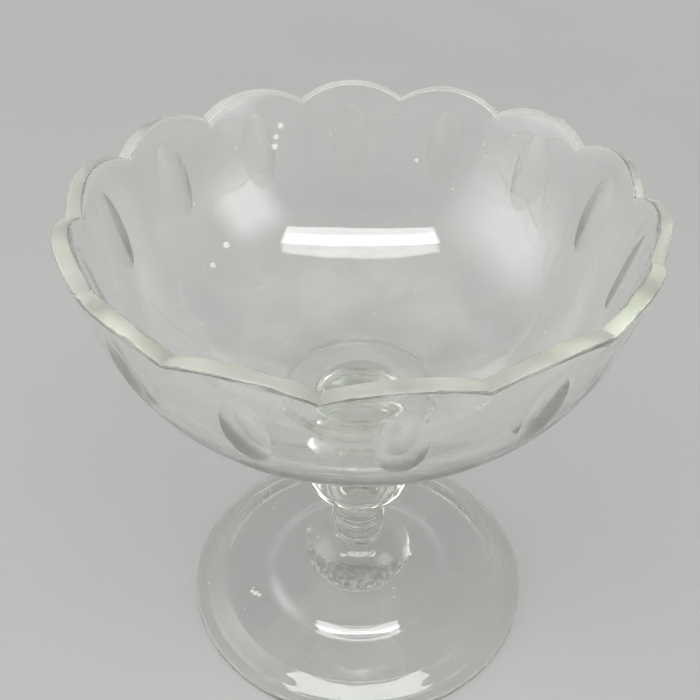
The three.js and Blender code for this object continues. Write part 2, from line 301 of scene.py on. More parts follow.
class Section:
    """Half of a turned piece's outline, drawn from the axis below to the axis above."""

    def __init__(self, z):
        self.points = [(0.0, z)]
        self.marks = {"seat": set(), "worn": set()}
        self.creases = set()

    def add(self, points, mark=None):
        """Adds points, and notes under a mark the stretch that leads to each."""
        for point in points:
            if mark:
                self.marks[mark].add(len(self.points) - 1)
            self.points.append(point)

    def line(self, r, z, steps=1, mark=None):
        start = self.points[-1]
        self.add([bezier((start, (r, z)), i / steps) for i in range(1, steps + 1)], mark)

    def curve(self, *controls, steps):
        controls = (self.points[-1],) + controls
        self.add([bezier(controls, i / steps) for i in range(1, steps + 1)])

    def arc(self, r, z, half_width, half_height, start, end, steps):
        for i in range(1, steps + 1):
            angle = start + (end - start) * i / steps
            self.add([(r + half_width * math.cos(angle), z + half_height * math.sin(angle))])

    def crease(self):
        """Makes the last point a hard edge."""
        self.creases.add(len(self.points) - 1)


def bezier(controls, share):
    """The point at a share of the way along a Bezier curve of any degree."""
    while len(controls) > 1:
        controls = [
            (a[0] + (b[0] - a[0]) * share, a[1] + (b[1] - a[1]) * share)
            for a, b in zip(controls, controls[1:])
        ]
    return controls[0]


def smooth_step(value):
    value = min(max(value, 0.0), 1.0)
    return value * value * (3 - 2 * value)


def uneven(point, layers):
    """How far layers of noise move a surface at a point. They only ever cut into it."""
    return sum(-depth * (0.5 + 0.5 * noise.noise(point / grain)) for grain, depth in layers)


def heading(azimuth):
    """The level direction at an azimuth in radians."""
    return Vector((math.cos(azimuth), math.sin(azimuth), 0))


def closed_surface(name, rings, marks, creases):
    """Makes a closed smooth mesh from rings of points in millimetres, the first and last of one point each.

    Marks are masks by name, each a function of a face's ring and column that gives its share from 0 to 1.
    Creases are pairs of neighbouring corners, each a ring and a column.
    """
    columns = len(rings[1])
    starts = [0]
    for ring in rings:
        starts.append(starts[-1] + len(ring))

    def corner(row, column):
        return starts[row] + column % len(rings[row])

    faces = []
    places = []
    for row in range(len(rings) - 1):
        for column in range(columns):
            loop = (
                corner(row, column), corner(row, column + 1),
                corner(row + 1, column + 1), corner(row + 1, column),
            )
            faces.append(list(dict.fromkeys(loop)))
            places.append((row, column))
    mesh = bpy.data.meshes.new(name)
    mesh.from_pydata([point * MM for ring in rings for point in ring], [], faces)
    mesh.polygons.foreach_set("use_smooth", [True] * len(faces))
    for mark, share in marks.items():
        layer = mesh.attributes.new(mark, "FLOAT", "FACE")
        layer.data.foreach_set("value", [float(share(*place)) for place in places])
    hard = {tuple(sorted((corner(*a), corner(*b)))) for a, b in creases}
    for edge in mesh.edges:
        edge.use_edge_sharp = tuple(sorted(edge.vertices)) in hard
    mesh.validate()
    piece = bpy.data.objects.new(name, mesh)
    bpy.context.scene.collection.objects.link(piece)
    return piece


def relief_fades(section):
    """How much of its relief each point of a section may take: none at a seat or a resting face."""
    lengths = [0.0]
    for a, b in zip(section.points, section.points[1:]):
        lengths.append(lengths[-1] + math.dist(a, b))
    still = {row + side for rows in section.marks.values() for row in rows for side in (0, 1)}
    return [
        smooth_step(min((abs(length - lengths[i]) for i in still), default=RELIEF_FADE) / RELIEF_FADE)
        for length in lengths
    ]


def turn(node, section, relief, sides, seat_below=True):
    """Turns a section about the Z axis, so that it fills its node's height up to the seats."""
    low, high = (corner.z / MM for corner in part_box(node))
    low += SEAT_GAP * seat_below
    high -= SEAT_GAP
    bottom = min(z for r, z in section.points)
    stretch = (high - low) / (max(z for r, z in section.points) - bottom)
    points = [(r, low + (z - bottom) * stretch) for r, z in section.points]
    fades = relief_fades(section)
    rings = [[Vector((0, 0, points[0][1]))]]
    for row in range(1, len(points) - 1):
        (r0, z0), (r, z), (r1, z1) = points[row - 1:row + 2]
        slope = Vector((z1 - z0, r0 - r1)).normalized()
        ring = []
        for side in range(sides):
            outward = heading(2 * math.pi * side / sides)
            point = outward * r + Vector((0, 0, z))
            normal = outward * slope[0] + Vector((0, 0, slope[1]))
            ring.append(point + normal * relief(point) * fades[row])
        rings.append(ring)
    rings.append([Vector((0, 0, points[-1][1]))])
    creases = [((row, side), (row, side + 1)) for row in section.creases for side in range(sides)]
    marks = {
        "seat": lambda row, side: row in section.marks["seat"],
        "worn": lambda row, side: row in section.marks["worn"],
    }
    return closed_surface(node + "_glass", rings, marks, creases)


def foot():
    """A thin disc that rises to a shelf and a low dome, hollow beneath, inside the ring that it rests on."""
    rest_outer = FOOT_RADIUS - REST_RING_INSET
    rest_inner = rest_outer - REST_RING_WIDTH
    edge = FOOT_EDGE_THICKNESS
    shelf_z = edge + SHELF_RISE
    shelf_inner_z = shelf_z + SHELF_SLANT
    dome_z = shelf_inner_z + DOME_RISE
    seat_z = dome_z + SEAT_RISE
    under_shelf = shelf_z - FOOT_WALL
    under_shelf_inner = shelf_inner_z - FOOT_WALL
    under_dome = dome_z - FOOT_WALL
    edge_halfway = (rest_outer + SHELF_OUTER_RADIUS) / 2
    dome_halfway = (SHELF_INNER_RADIUS + DOME_RADIUS) / 2
    seat_radius = LOWER_KNOP_BASE_RADIUS

    section = Section(under_dome)
    section.line(DOME_RADIUS, under_dome, steps=12)
    section.curve(
        (dome_halfway, under_dome), (dome_halfway, under_shelf_inner),
        (SHELF_INNER_RADIUS, under_shelf_inner), steps=20)
    section.curve(
        (SHELF_OUTER_RADIUS, under_shelf), (SHELF_OUTER_RADIUS, HOLLOW_RISE),
        (HOLLOW_RADIUS, HOLLOW_RISE), steps=16)
    section.line(rest_inner, 0, steps=16)
    section.line(rest_outer, 0, steps=4, mark="worn")
    section.curve((FOOT_RADIUS, 0), (FOOT_RADIUS, edge / 2), steps=8)
    section.curve((FOOT_RADIUS, edge), (rest_outer, edge), steps=8)
    section.curve(
        (edge_halfway, edge + SHELF_RISE / 2), (edge_halfway, shelf_z),
        (SHELF_OUTER_RADIUS, shelf_z), steps=14)
    section.line(SHELF_INNER_RADIUS, shelf_inner_z, steps=6)
    section.curve(
        (dome_halfway, shelf_inner_z), (dome_halfway, dome_z),
        (DOME_RADIUS, dome_z), steps=20)
    section.line(seat_radius + SEAT_FILLET, dome_z, steps=3)
    section.curve((seat_radius, dome_z), (seat_radius, seat_z), steps=12)
    section.line(0, seat_z, mark="seat")
    return turn("foot", section, lambda point: uneven(point, FOOT_RELIEF), sides=192, seat_below=False)


def knop_section(radius, half_height, base_radius, top_radius, base_contact):
    """The arc of an ellipse between two flat seats."""
    below = half_height * math.sqrt(1 - (base_radius / radius) ** 2)
    above = half_height * math.sqrt(1 - (top_radius / radius) ** 2)
    section = Section(0)
    section.line(base_contact, 0, mark="seat")
    if base_contact < base_radius:
        section.line(base_radius, 0)
    section.crease()
    section.arc(
        0, below, radius, half_height,
        -math.acos(base_radius / radius), math.acos(top_radius / radius), steps=64)
    section.crease()
    section.line(0, below + above, mark="seat")
    return section


def seam_height(point):
    """The mould seam of the lower knop: a faint ridge down two sides, with a burr on each."""
    height = 0
    for azimuth, z in SEAM_BURRS:
        outward = heading(math.radians(azimuth))
        along = point.dot(outward)
        if along > 0:
            aside = (point - outward * along).xy.length
            ridge = math.exp(-(aside / SEAM_HALF_WIDTH) ** 2)
            burr = math.exp(-(aside / BURR_HALF_WIDTH) ** 2 - ((point.z - z) / BURR_HALF_LENGTH) ** 2)
            height += SEAM_HEIGHT * ridge + BURR_HEIGHT * burr
    return height


def lower_knop():
    """A crude pressed ball: pebbled below its middle and smoother above, with a mould seam."""
    section = knop_section(
        LOWER_KNOP_RADIUS, LOWER_KNOP_HALF_HEIGHT,
        LOWER_KNOP_BASE_RADIUS, LOWER_KNOP_TOP_RADIUS, LOWER_KNOP_BASE_RADIUS)
    low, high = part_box("lower_knop")
    fade_top = low.lerp(high, 0.5).z / MM + PEBBLES_FADE / 2

    def relief(point):
        below = smooth_step((fade_top - point.z) / PEBBLES_FADE)
        crude = PEBBLES_ABOVE + (1 - PEBBLES_ABOVE) * below
        return uneven(point, PEBBLES) * crude + uneven(point, LOWER_KNOP_RELIEF) + seam_height(point)

    return turn("lower_knop", section, relief, sides=160)


def ringed_collar():
    """A short neck that flares down onto the knop and carries two drawn rings."""
    section = Section(0)
    section.line(LOWER_KNOP_TOP_RADIUS, 0, mark="seat")
    section.crease()
    section.curve(
        (COLLAR_RADIUS, COLLAR_FLARE_HEIGHT / 2), (COLLAR_RADIUS, COLLAR_FLARE_HEIGHT), steps=10)
    for height, radius in COLLAR_RINGS:
        section.line(COLLAR_RADIUS, height - RING_WIDTH / 2, steps=2)
        section.curve(
            (2 * radius - COLLAR_RADIUS, height), (COLLAR_RADIUS, height + RING_WIDTH / 2), steps=12)
    section.line(COLLAR_RADIUS, COLLAR_HEIGHT, steps=8)
    section.crease()
    section.line(0, COLLAR_HEIGHT, mark="seat")
    return turn("ringed_collar", section, lambda point: uneven(point, COLLAR_RELIEF), sides=96)


def upper_knop():
    """A second ball, smoother and taller than the lower one."""
    section = knop_section(
        UPPER_KNOP_RADIUS, UPPER_KNOP_HALF_HEIGHT,
        UPPER_KNOP_BASE_RADIUS, UPPER_KNOP_TOP_RADIUS, COLLAR_RADIUS)
    return turn("upper_knop", section, lambda point: uneven(point, UPPER_KNOP_RELIEF), sides=144)


def neck():
    """The waisted length under the bowl."""
    waist = NECK_WAIST_RADIUS
    section = Section(0)
    section.line(UPPER_KNOP_TOP_RADIUS, 0, mark="seat")
    section.crease()
    section.curve(
        (waist, NECK_HEIGHT / 4), (waist, NECK_HEIGHT * 3 / 4), (NECK_TOP_RADIUS, NECK_HEIGHT), steps=32)
    section.crease()
    section.line(0, NECK_HEIGHT, mark="seat")
    return turn("neck", section, lambda point: uneven(point, NECK_RELIEF), sides=112)


def merese():
    """The flat disc with a rounded edge that carries the bowl."""
    edge = MERESE_HEIGHT / 2
    flat_radius = MERESE_RADIUS - edge
    section = Section(0)
    section.line(NECK_TOP_RADIUS, 0, mark="seat")
    section.line(flat_radius, 0, steps=4)
    section.arc(flat_radius, edge, edge, edge, -math.pi / 2, math.pi / 2, steps=20)
    section.line(0, MERESE_HEIGHT, mark="seat")
    return turn("merese", section, lambda point: uneven(point, MERESE_RELIEF), sides=144)


def wall_samples():
    """Fine samples of the wall's outer curve as (length, radius, height)."""
    controls = (
        (BOWL_SEAT_RADIUS, 0),
        (BOWL_SEAT_RADIUS + BASE_SWEEP * math.cos(BASE_SLOPE), BASE_SWEEP * math.sin(BASE_SLOPE)),
        (BOWL_TOP_RADIUS - RIM_SWEEP * math.sin(RIM_FLARE), BOWL_HEIGHT - RIM_SWEEP * math.cos(RIM_FLARE)),
        (BOWL_TOP_RADIUS, BOWL_HEIGHT),
    )
    samples = [(0.0, *controls[0])]
    for i in range(1, WALL_SAMPLES + 1):
        point = bezier(controls, i / WALL_SAMPLES)
        samples.append((samples[-1][0] + math.dist(samples[-1][1:], point), *point))
    return samples


outer_curve = wall_samples()
wall_length = outer_curve[-1][0]
lens_middle = wall_length - LENS_TOP_BELOW_RIM - LENS_HALF_LENGTH


def on_wall(length):
    """The point at a length along the wall's outer curve."""
    low, high = 0, WALL_SAMPLES
    while high - low > 1:
        middle = (low + high) // 2
        if outer_curve[middle][0] <= length:
            low = middle
        else:
            high = middle
    (s0, r0, z0), (s1, r1, z1) = outer_curve[low], outer_curve[high]
    share = (length - s0) / (s1 - s0)
    return Vector((r0 + (r1 - r0) * share, z0 + (z1 - z0) * share))


def wall_point(length, depth):
    """A point at a length along the outer face, set in by a depth along the wall's normal."""
    along = (on_wall(length + TANGENT_REACH) - on_wall(length - TANGENT_REACH)).normalized()
    return on_wall(length) + depth * Vector((-along.y, along.x))


def wall_thickness(length, azimuth):
    """The wall is nearly even, and thickens towards the base. Its upper half is thinner on one side."""
    even = RIM_WALL + (BASE_WALL - RIM_WALL) * (1 - length / wall_length) ** WALL_TAPER_POWER
    aside = math.remainder(azimuth - THIN_SIDE, 2 * math.pi) / THIN_SPREAD
    return even - THIN_SIDE_LOSS * math.exp(-aside ** 2) * smooth_step(2 * length / wall_length - 1)


def inner_point(length, azimuth):
    """A point of the wall's inner face."""
    return wall_point(length, wall_thickness(length, azimuth))


def cusp_azimuth(number):
    """Azimuth of a cusp between two lobes."""
    even = 360 * number / LOBE_COUNT
    drift = SPACING_DRIFT * math.cos(math.radians(even - DRIFT_PEAK))
    return math.radians(FIRST_CUSP + even + drift)


def rim_drop(across):
    """How far a lobe's arched edge drops below its top, from -1 at one cusp to 1 at the next."""
    half_chord = math.pi * BOWL_TOP_RADIUS / LOBE_COUNT
    arch_radius = (half_chord ** 2 + LOBE_RISE ** 2) / (2 * LOBE_RISE)
    return arch_radius - math.sqrt(arch_radius ** 2 - (half_chord * across) ** 2)


def edge_bevel(azimuth, phase):
    """The worn edge of the rim: uneven, and wider where it is chipped."""
    nick = noise.noise(Vector((math.cos(azimuth), math.sin(azimuth), phase)) * NICK_GRAIN)
    bevel = RIM_BEVEL * (BEVEL_LEAST + BEVEL_NICKS * max(nick, 0))
    for chip, extra, half_width in RIM_CHIPS:
        aside = math.remainder(azimuth - math.radians(chip), 2 * math.pi) * BOWL_TOP_RADIUS
        bevel += extra * math.exp(-(aside / half_width) ** 2)
    return bevel


def lens_patch(across, along, azimuth, half_lobe):
    """A point of the patch round one lens, as azimuth, length along the wall and depth below its face.

    Squares inside the patch become ellipses inside the lens, and spread out to the patch's edge beyond it.
    """
    size = max(abs(across), abs(along))
    if size == 0:
        return azimuth, lens_middle, LENS_DEPTH
    ray = Vector((across, along)).normalized()
    reach = min(size / LENS_SHARE, 1)
    x = ray.x * reach * LENS_HALF_WIDTH
    y = ray.y * reach * LENS_HALF_LENGTH
    depth = LENS_DEPTH * (1 - reach ** 2)
    if size > LENS_SHARE:
        outside = (size - LENS_SHARE) / (1 - LENS_SHARE)
        edge_y = along / size * (LENS_HALF_LENGTH + LENS_MARGIN)
        edge_x = across / size * half_lobe * on_wall(lens_middle + edge_y).x
        x += (edge_x - x) * outside
        y += (edge_y - y) * outside
    return azimuth + x / on_wall(lens_middle + y).x, lens_middle + y, depth


def rounded_corner(start, corner, end):
    """Points that round a corner from one face to the next, within its chamfer's reach."""
    chamfer = (start + end) / 2
    control = chamfer + (corner - chamfer) * ROUND_FULLNESS
    return [bezier((start, control, end), row / BEVEL_ROWS) for row in range(1, BEVEL_ROWS + 1)]


def outer_rows(across, azimuth, middle, half_lobe, top):
    """The outer face of one column, from above the seat to a length at its top, as azimuths and points."""
    patch_reach = LENS_HALF_LENGTH + LENS_MARGIN
    bottom = lens_middle - patch_reach
    rows = [(azimuth, wall_point(bottom * row / LOWER_ROWS, 0)) for row in range(1, LOWER_ROWS)]
    for row in range(PATCH_ROWS + 1):
        turned_to, length, depth = lens_patch(across, 2 * row / PATCH_ROWS - 1, middle, half_lobe)
        rows.append((turned_to, wall_point(length, depth)))
    patch_top = lens_middle + patch_reach
    for row in range(1, UPPER_ROWS + 1):
        rows.append((azimuth, wall_point(patch_top + (top - patch_top) * row / UPPER_ROWS, 0)))
    return rows


def rim_rows(azimuth, rim_top, outer_bevel):
    """The ground rim of one column, from its outer edge to its inner one, and the length where that ends."""
    depth_through = wall_thickness(rim_top, azimuth)
    inner_bevel = edge_bevel(azimuth, 1)
    inner_top = rim_top - depth_through * math.tan(RIM_FLARE - RIM_FACE)
    inner_end = inner_top - RIM_CROWN - inner_bevel
    face_slope = (inner_top - rim_top) / depth_through

    def rim_face(depth):
        fall = RIM_CROWN * (2 * depth / depth_through - 1) ** 2
        return wall_point(rim_top + face_slope * depth - fall, depth)

    outer_end = rim_top - RIM_CROWN - outer_bevel
    points = rounded_corner(wall_point(outer_end, 0), rim_face(0), rim_face(outer_bevel))
    face_width = depth_through - inner_bevel - outer_bevel
    points += [rim_face(outer_bevel + face_width * row / RIM_ROWS) for row in range(1, RIM_ROWS + 1)]
    points += rounded_corner(
        rim_face(depth_through - inner_bevel), rim_face(depth_through), inner_point(inner_end, azimuth))
    return points, inner_end


def inner_rows(azimuth, top):
    """The inner face of one column and the bowl's floor, and the floor's height in the middle.

    The floor goes on from the wall at the same slope, and is level in the middle.
    """
    points = [inner_point(top * (1 - row / INNER_ROWS), azimuth) for row in range(1, INNER_ROWS + 1)]
    edge = inner_point(0, azimuth)
    floor_slope = math.tan(BASE_SLOPE) - WALL_TAPER_POWER * (BASE_WALL - RIM_WALL) / wall_length
    floor_z = edge.y - edge.x / 2 * floor_slope
    for row in range(1, FLOOR_ROWS):
        points.append(bezier((edge, (edge.x / 2, floor_z), (0, floor_z)), row / FLOOR_ROWS))
    return points, floor_z


def bowl_point(base_z, azimuth, wall_place):
    """A place on the bowl's uneven surface, from its azimuth and its point on the even wall."""
    outward = heading(azimuth)
    r, z = wall_place
    point = outward * r + Vector((0, 0, base_z + z))
    return point + outward * uneven(point, BOWL_RELIEF)


def bowl_column(base_z, lobe, step):
    """One column of the bowl's grid, from the seat over the rim to the floor, and the floor's height."""
    start, end = cusp_azimuth(lobe), cusp_azimuth(lobe + 1)
    share = step / LOBE_COLUMNS
    across = 2 * share - 1
    azimuth = start + (end - start) * share
    rim_top = wall_length - rim_drop(across)
    outer_bevel = edge_bevel(azimuth, 0)

    rows = outer_rows(
        across, azimuth, (start + end) / 2, (end - start) / 2, rim_top - RIM_CROWN - outer_bevel)
    rim, rim_end = rim_rows(azimuth, rim_top, outer_bevel)
    inside, floor_z = inner_rows(azimuth, rim_end)
    rows += [(azimuth, point) for point in rim + inside]

    seat_height = Vector((0, 0, base_z + SEAT_GAP))
    column = [heading(azimuth) * radius + seat_height for radius in UNDERSIDE_RADII]
    column += [bowl_point(base_z, *row) for row in rows]
    return column, base_z + floor_z


def lens_creases(middle_row):
    """The sharp outline of each lens, as pairs of neighbouring grid corners."""
    creases = []
    for lobe in range(LOBE_COUNT):
        middle_column = lobe * LOBE_COLUMNS + LOBE_COLUMNS // 2
        for side in (-1, 1):
            row = middle_row + side * LENS_HALF_ROWS
            for column in range(middle_column - LENS_HALF_COLUMNS, middle_column + LENS_HALF_COLUMNS):
                creases.append(((row, column), (row, column + 1)))
            column = middle_column + side * LENS_HALF_COLUMNS
            for row in range(middle_row - LENS_HALF_ROWS, middle_row + LENS_HALF_ROWS):
                creases.append(((row, column), (row + 1, column)))
    return creases


def bowl():
    """The scalloped bowl with its lens cuts and ground rim."""
    base_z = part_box("bowl")[0].z / MM
    columns = []
    for lobe in range(LOBE_COUNT):
        for step in range(LOBE_COLUMNS):
            column, floor_z = bowl_column(base_z, lobe, step)
            columns.append(column)
    rings = [[Vector((0, 0, base_z + SEAT_GAP))]]
    rings += [list(ring) for ring in zip(*columns)]
    rings.append([Vector((0, 0, floor_z))])

    wall_row = len(UNDERSIDE_RADII)
    patch_row = wall_row + LOWER_ROWS
    lens_row = patch_row + PATCH_ROWS // 2
    rim_row = patch_row + PATCH_ROWS + UPPER_ROWS
    rim_end = rim_row + 2 * BEVEL_ROWS + RIM_ROWS

    def in_lens(row, column):
        aside = column % LOBE_COLUMNS + 0.5 - LOBE_COLUMNS / 2
        return abs(row + 0.5 - lens_row) < LENS_HALF_ROWS and abs(aside) < LENS_HALF_COLUMNS

    def ground_share(row, column):
        if rim_row + BEVEL_ROWS <= row < rim_end - BEVEL_ROWS:
            return 1.0
        return BEVEL_SATIN if rim_row <= row < rim_end else 0.0

    marks = {
        "seat": lambda row, column: row == 0,
        # The ring beyond the merese's flat top, which its material turns into a painted highlight
        "joint": lambda row, column: row == 1,
        "ground": ground_share,
        "cut": in_lens,
    }
    creases = [((wall_row, column), (wall_row, column + 1)) for column in range(len(columns))]
    creases += lens_creases(lens_row)
    for lobe in range(LOBE_COUNT):
        cusp = lobe * LOBE_COLUMNS
        creases += [((row, cusp), (row + 1, cusp)) for row in range(rim_row, rim_end)]
    return closed_surface("bowl_glass", rings, marks, creases)


def add_node(tree, kind, inputs=None, **options):
    """Adds a shader node, sets its options, and links or sets its inputs."""
    node = tree.nodes.new("ShaderNode" + kind)
    for option, value in options.items():
        setattr(node, option, value)
    for key, value in (inputs or {}).items():
        if isinstance(value, bpy.types.NodeSocket):
            tree.links.new(value, node.inputs[key])
        else:
            node.inputs[key].default_value = value
    return node


def math_node(tree, operation, a, b=0.0):
    return add_node(tree, "Math", {0: a, 1: b}, operation=operation).outputs[0]


def remap(tree, value, source, target):
    """Maps one range of a value onto another and holds it there."""
    inputs = {"Value": value, 1: source[0], 2: source[1], 3: target[0], 4: target[1]}
    return add_node(tree, "MapRange", inputs).outputs["Result"]


def noise_value(tree, place, pattern):
    scale, detail, roughness = pattern
    inputs = {"Vector": place, "Scale": scale, "Detail": detail, "Roughness": roughness}
    return add_node(tree, "TexNoise", inputs).outputs["Fac"]


def mix_value(tree, factor, a, b):
    return add_node(tree, "Mix", {"Factor": factor, 2: a, 3: b}).outputs[0]


def mix_colour(tree, factor, a, b):
    return add_node(tree, "Mix", {"Factor": factor, 6: a, 7: b}, data_type="RGBA").outputs[2]


def separate(tree, vector):
    return add_node(tree, "SeparateXYZ", {"Vector": vector}).outputs


def face_mask(tree, mark):
    """The share that a mesh gives each face under a mark's name."""
    return add_node(tree, "Attribute", attribute_name=mark).outputs["Fac"]


def new_material(name):
    """An empty material, its node tree, and the place on the object in metres."""
    material = bpy.data.materials.new(name)
    material.use_nodes = True
    tree = material.node_tree
    tree.nodes.clear()
    return material, tree, add_node(tree, "TexCoord").outputs["Object"]


def distance_from_axis(tree, place):
    parts = separate(tree, place)
    flat = add_node(tree, "CombineXYZ", {"X": parts["X"], "Y": parts["Y"]}).outputs[0]
    return add_node(tree, "VectorMath", {0: flat}, operation="LENGTH").outputs["Value"]


def share_below(tree, place, height, fade):
    """1 under a height in millimetres and 0 over it, with a fade between them round that height."""
    ends = ((height - fade / 2) * MM, (height + fade / 2) * MM)
    return remap(tree, separate(tree, place)["Z"], ends, (1.0, 0.0))


def round_the_axis(tree, place, along, across):
    """Texture coordinates with one scale along circles round the Z axis and another across them."""
    parts = separate(tree, place)
    azimuth = math_node(tree, "ARCTAN2", parts["Y"], parts["X"])
    inputs = {
        "X": math_node(tree, "MULTIPLY", azimuth, along),
        "Y": math_node(tree, "MULTIPLY", distance_from_axis(tree, place), across),
        "Z": math_node(tree, "MULTIPLY", parts["Z"], across),
    }
    return add_node(tree, "CombineXYZ", inputs).outputs[0]


def add_relief(tree, look, height, strength):
    raised = math_node(tree, "MULTIPLY", height, strength)
    look["relief"] = math_node(tree, "ADD", look["relief"], raised)


def lay_over(tree, look, mask, **values):
    """Changes a look to other values where a mask says so."""
    for key, value in values.items():
        mix = mix_colour if key == "colour" else mix_value
        look[key] = mix(tree, mask, look[key], value)


def smudged_glass(tree, place):
    """The look that all the glass starts from: old polished glass, hazier where it is smudged."""
    smudges = noise_value(tree, place, SMUDGES)
    look = {
        "roughness": remap(tree, smudges, SMUDGED_BETWEEN, POLISHED_ROUGHNESS),
        "transmission": remap(tree, smudges, SMUDGED_BETWEEN, POLISHED_TRANSMISSION),
        "colour": mix_colour(tree, smudges, *POLISHED_COLOURS),
        "relief": math_node(tree, "MULTIPLY", smudges, SMUDGE_RELIEF),
    }
    add_relief(tree, look, noise_value(tree, place, SURFACE_GRAIN), GRAIN_RELIEF)
    return look


def bowl_specks():
    """The centres and radii of the larger specks inside the bowl."""
    base_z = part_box("bowl")[0].z / MM
    specks = []
    for degrees, below_rim, radius in BOWL_SPECKS:
        azimuth = math.radians(degrees)
        centre = bowl_point(base_z, azimuth, inner_point(wall_length - below_rim, azimuth))
        specks.append((centre, radius))
    return specks


def foot_specks():
    """The centres and radii of the larger specks on the foot's shelf."""
    specks = []
    for degrees, distance, radius in FOOT_SPECKS:
        inwards = (SHELF_OUTER_RADIUS - distance) / (SHELF_OUTER_RADIUS - SHELF_INNER_RADIUS)
        height = FOOT_EDGE_THICKNESS + SHELF_RISE + SHELF_SLANT * inwards
        centre = heading(math.radians(degrees)) * distance + Vector((0, 0, height))
        specks.append((centre, radius))
    return specks


def lay_dust(tree, place, look, specks=()):
    """Dust and seeds of uneven size, and the few larger specks, with ragged outlines."""
    cells = add_node(tree, "TexVoronoi", {"Vector": place, "Scale": DUST_CELLS, "Randomness": 1.0})
    spread = noise_value(tree, cells.outputs["Position"], DUST_SPREAD)
    reach = remap(tree, spread, DUST_BETWEEN, DUST_SIZES)
    dust = math_node(tree, "LESS_THAN", cells.outputs["Distance"], reach)
    # The noise is about a half, so twice its value makes a ragged outline of the right radius
    ragged = math_node(tree, "MULTIPLY", noise_value(tree, place, SPECK_OUTLINES), 2.0)
    for centre, radius in specks:
        inputs = {0: place, 1: centre * MM}
        distance = add_node(tree, "VectorMath", inputs, operation="DISTANCE").outputs["Value"]
        speck = math_node(tree, "LESS_THAN", distance, math_node(tree, "MULTIPLY", ragged, radius * MM))
        dust = math_node(tree, "MAXIMUM", dust, speck)
    lay_over(tree, look, dust, **DUST_LOOK)


def lay_cuts(tree, place, look):
    """The faint satin that polishing left in the lens cuts."""
    smudges = noise_value(tree, place, SMUDGES)
    lay_over(
        tree, look, face_mask(tree, "cut"),
        roughness=remap(tree, smudges, CUTS_SMUDGED_BETWEEN, CUT_ROUGHNESS),
        transmission=remap(tree, smudges, CUTS_SMUDGED_BETWEEN, CUT_TRANSMISSION))


def lay_clouds(tree, place, look):
    """Smears in the bowl's floor."""
    smears = remap(tree, noise_value(tree, place, SMEARS), SMEARED_BETWEEN, (0.0, 1.0))
    low = share_below(tree, place, CLOUDY_BELOW, CLOUDY_FADE)
    lay_over(tree, look, math_node(tree, "MULTIPLY", smears, low), **CLOUDED_LOOK)


def lay_pebbles(tree, place, look):
    """The crude, grainy skin of the lower knop."""
    crude = share_below(tree, place, CRUDE_BELOW, CRUDE_FADE)
    grains = noise_value(tree, place, KNOP_GRAINS)
    add_relief(tree, look, math_node(tree, "MULTIPLY", grains, crude), KNOP_GRAIN_RELIEF)
    lay_over(
        tree, look, crude, roughness=CRUDE_ROUGHNESS,
        transmission=remap(tree, grains, KNOP_GRAINS_BETWEEN, KNOP_GRAIN_TRANSMISSION))


def lay_satin(tree, place, look, mark, share=1.0):
    """Matt glass where it was ground or worn: milky in patches, and finely scored round the axis."""
    matt = math_node(tree, "MULTIPLY", face_mask(tree, mark), share)
    scoring = noise_value(tree, round_the_axis(tree, place, SCORING_ALONG, SCORING_ACROSS), SCORING)
    patches = noise_value(tree, place, MILKY_PATCHES)
    milky = math_node(
        tree, "ADD", remap(tree, scoring, SCORED_BETWEEN, SCORED_MILKINESS),
        remap(tree, patches, PATCHES_BETWEEN, PATCH_MILKINESS))
    lay_over(
        tree, look, matt,
        roughness=remap(tree, milky, MILKY_BETWEEN, SATIN_ROUGHNESS),
        transmission=math_node(tree, "SUBTRACT", 1.0, milky),
        colour=SATIN_COLOUR)
    add_relief(tree, look, math_node(tree, "MULTIPLY", scoring, matt), SCORING_RELIEF)


def finish_glass(tree, look):
    """Makes glass of a look, which holds its tint inside and shows nothing where two pieces are joined."""
    bump = add_node(tree, "Bump", {
        "Strength": FINE_RELIEF_STRENGTH,
        "Distance": FINE_RELIEF_HEIGHT,
        "Height": look["relief"],
    })
    shader = add_node(tree, "BsdfPrincipled", {
        "Base Color": look["colour"],
        "Roughness": look["roughness"],
        "IOR": GLASS_IOR,
        "Alpha": math_node(tree, "SUBTRACT", 1.0, face_mask(tree, "seat")),
        "Normal": bump.outputs["Normal"],
        "Transmission Weight": look["transmission"],
    })
    absorption = add_node(tree, "VolumeAbsorption", {"Color": GLASS_TINT, "Density": TINT_DENSITY})
    add_node(tree, "OutputMaterial", {
        "Surface": shader.outputs["BSDF"],
        "Volume": absorption.outputs["Volume"],
    })


def bowl_glass():
    """Clear glass with satin cuts and rim, a clouded floor, and a matt whitish ring round the joint beneath,
    a painted highlight for the light trapped in the joint.
    """
    material, tree, place = new_material("cut_bowl_glass")
    look = smudged_glass(tree, place)
    lay_dust(tree, place, look, bowl_specks())
    lay_cuts(tree, place, look)
    # A whitish, nearly opaque ring round the joint: a painted highlight for the light trapped there
    lay_over(tree, look, face_mask(tree, "joint"), **JOINT_HIGHLIGHT_LOOK)
    lay_clouds(tree, place, look)
    lay_satin(tree, place, look, "ground")
    finish_glass(tree, look)
    return material


def stem_glass():
    """Thick clear glass, with the lower knop's pebbly skin."""
    material, tree, place = new_material("thick_stem_glass")
    look = smudged_glass(tree, place)
    lay_dust(tree, place, look)
    lay_pebbles(tree, place, look)
    finish_glass(tree, look)
    return material


def foot_glass():
    """Thin clear glass, a little worn where it rests."""
    material, tree, place = new_material("low_foot_glass")
    look = smudged_glass(tree, place)
    lay_dust(tree, place, look, foot_specks())
    lay_satin(tree, place, look, "worn", WEAR)
    finish_glass(tree, look)
    return material


